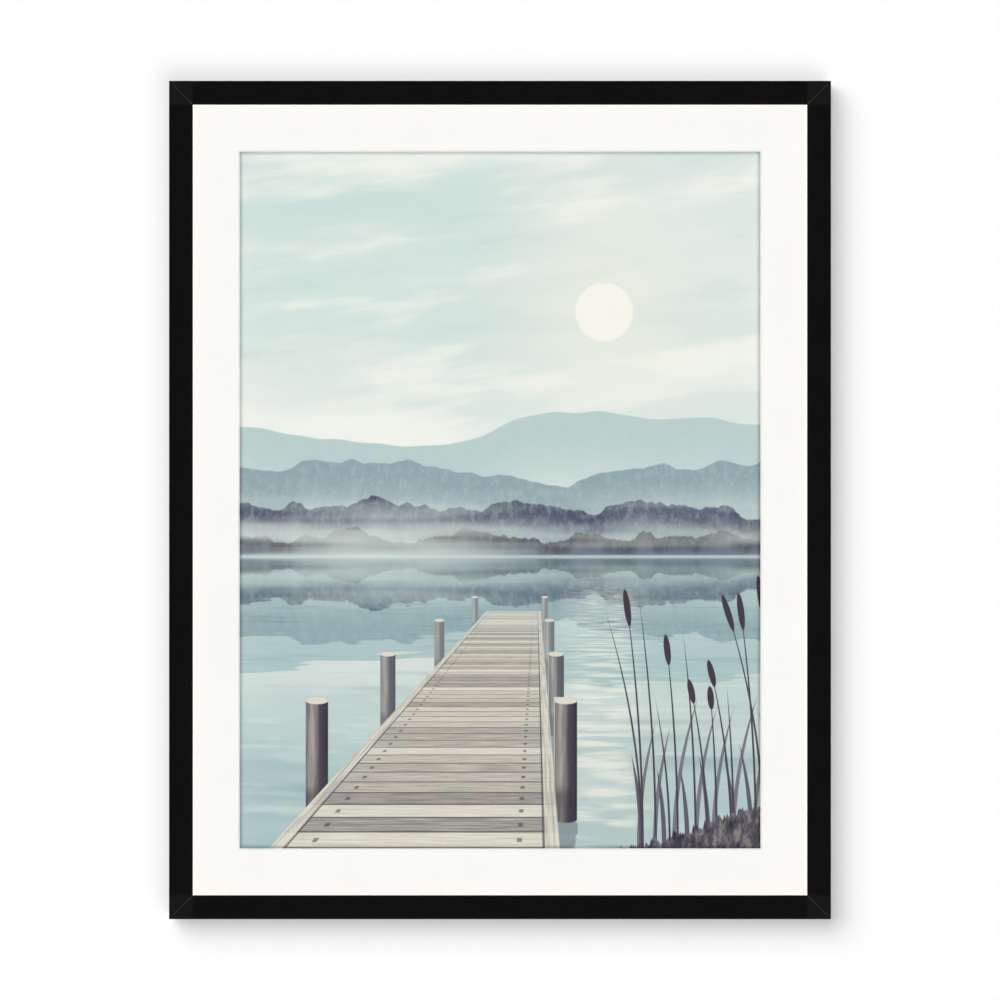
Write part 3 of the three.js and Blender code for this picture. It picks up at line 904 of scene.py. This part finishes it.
def sun(name, strength, across, down, spread, receivers, blockers=None):
    """A soft sun. Across and down are how far its light shifts for each metre towards the wall."""
    data = bpy.data.lights.new(name, "SUN")
    data.energy = strength
    data.angle = math.radians(spread)
    data.cycles.use_multiple_importance_sampling = False  # so that the blockers hold
    light = bpy.data.objects.new(name, data)
    heading = Vector((across, 1, -down))
    light.rotation_euler = heading.to_track_quat("-Z", "Y").to_euler()
    light.visible_glossy = False
    light.light_linking.receiver_collection = receivers
    if blockers:
        light.light_linking.blocker_collection = blockers
    bpy.context.collection.objects.link(light)
    return light


def softbox(name, power, location, size, receivers, mirrored):
    """A square area light behind the picture, aimed at its middle."""
    data = bpy.data.lights.new(name, "AREA")
    data.energy = power
    data.size = size
    light = bpy.data.objects.new(name, data)
    light.location = location
    light.visible_glossy = mirrored
    light.light_linking.receiver_collection = receivers
    aim = Vector((0, 0, MIDDLE)) - light.location
    light.rotation_euler = aim.to_track_quat("-Z", "Y").to_euler()
    bpy.context.collection.objects.link(light)


def group(name, members):
    gathered = bpy.data.collections.new(name)
    for member in members:
        gathered.objects.link(member)
    return gathered


def studio():
    """The wall takes a drop shadow from the upper left; the picture itself is lit head on."""
    shown = [thing for thing in bpy.data.objects if thing.type == "MESH"]
    picture = group("picture", shown)
    # Neither the rails nor the clear glazing shade what is behind them.
    shading = group("shading", [thing for thing in shown
                                if "moulding" not in thing.name and thing.name != "glazing"])
    steels = [thing for thing in shown if thing.get("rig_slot", "").endswith("steel")]
    metal = group("metal", steels)
    other = group("other", [thing for thing in shown if thing not in steels])
    white = (0.9, 0.9, 0.9, 1)
    wall = backdrop("wall", (0, 0.2 * MM, MIDDLE), (math.pi / 2, 0, 0), white)
    floor = backdrop("floor", (0, 0, FLOOR_LEVEL), (0, 0, 0), white)
    room = group("room", [wall, floor])
    sun("wall front light", 0.73, 0, 0, 4, room)
    sun("wall light", 2.35, 0.55, 0.55, 56, room)
    sun("wall fill", 0.95, -0.34, -0.55, 46, room)
    sun("front light", 0.34, 0, 0, 4, picture, shading)
    for number in range(RING_LIGHTS):
        turn = 2 * math.pi * (number + 0.5) / RING_LIGHTS
        slant = math.tan(math.radians(RING_SLANT))
        sun(f"ring light {number + 1}", 1.469, slant * math.cos(turn), slant * math.sin(turn), 24,
            picture, shading)
    sun("floor light", 2.2, 0.1, 4, 60, group("ground", [floor]))
    for receivers, mirrored in ((metal, True), (other, False)):
        softbox("rear light", 48, (1.2, 2.4, 0.9), 1.2, receivers, mirrored)
        softbox("rear fill", 24, (-1.8, 2.0, -0.4), 1.6, receivers, mirrored)
    world = bpy.data.worlds.new("studio")
    bpy.context.scene.world = world
    m = Finish("studio", world)
    direction = m.node("TexCoord", output="Generated")
    ahead = -1 * m.split(direction)[1]
    mirrored = m.node("LightPath", output="Is Glossy Ray")
    flagged = ahead.ease(0.55, 0.85)
    strength = 0.04 * (1 - mirrored) + mirrored * (0.5 - 0.49 * flagged)
    lit = m.node("Background", None, {"Color": (1, 1, 1, 1), "Strength": strength})
    seen = m.node("Background", None, {"Color": (1, 1, 1, 1), "Strength": 1})
    path = m.node("LightPath", output="Is Camera Ray")
    m.use(m.node("MixShader", None, {0: path, 1: lit, 2: seen}), "OutputWorld")


def camera():
    data = bpy.data.cameras.new("camera")
    data.lens = LENS
    data.sensor_width = SENSOR
    eye = bpy.data.objects.new("camera", data)
    distance = LENS / SENSOR * VIEW_WIDTH
    eye.location = (0, FRONT - distance, MIDDLE)
    eye.rotation_euler = (math.pi / 2, 0, 0)
    bpy.context.collection.objects.link(eye)
    bpy.context.scene.camera = eye


def build():
    level, upright = black_moulding("black level", False), black_moulding("black upright", True)
    for name, length, reach, turn, points in SIDES:
        material = upright if name in ("left", "right") else level
        moulding(name, length, reach, turn, points, material)
    flexible_points(steel("spring steel", ink("9a9da1"), ink("7f8287"), 0.3, 700, 700))
    plated = steel("plated steel", ink("c2c3c2"), ink("a9aba8"), 0.24, 90, 900)
    for name in ("left", "right"):
        sawtooth_hanger(name, plated)
        wall_pad(name, pad_rubber())
    for node in [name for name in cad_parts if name.startswith("nail_")]:
        tack(node, plated)
    rear_board(fibre_board())
    face = board("mat face", ink("faf9f6"), ink("f7f6f3"), 0.05 * MM)
    core = board("mat core", ink("fbfbf8"), ink("f4f4ef"), 0.03 * MM)
    window_mat(face, core)
    dress("mount_board", core)
    dress("glazing", clear_glazing())
    # Light that the boards scatter skips the glazing, which saves a sixth of the render.
    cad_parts["glazing"].visible_diffuse = False
    dress("print", printed_paper())
    grey = board("grey board", ink("c9c5ba"), ink("a8a398"), 0.08 * MM)
    tape = board("paper tape", ink("efe9d8"), ink("ddd5c0"), 0.05 * MM)
    wedge = steel("wedge steel", ink("8d9094"), ink("6f7276"), 0.35, 300, 300)
    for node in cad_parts:
        if node.startswith("spacer_"):
            dress(node, grey)
        elif node.startswith("tape_"):
            dress(node, tape)
        elif node.startswith("v_nail_"):
            dress(node, wedge)


bpy.context.scene.view_settings.view_transform = "Standard"
camera()
build()
studio()

sizes = {"solids": solid_bounds, "scene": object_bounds()}
{name: [list(corner) for corner in box] for name, box in sizes.items()}
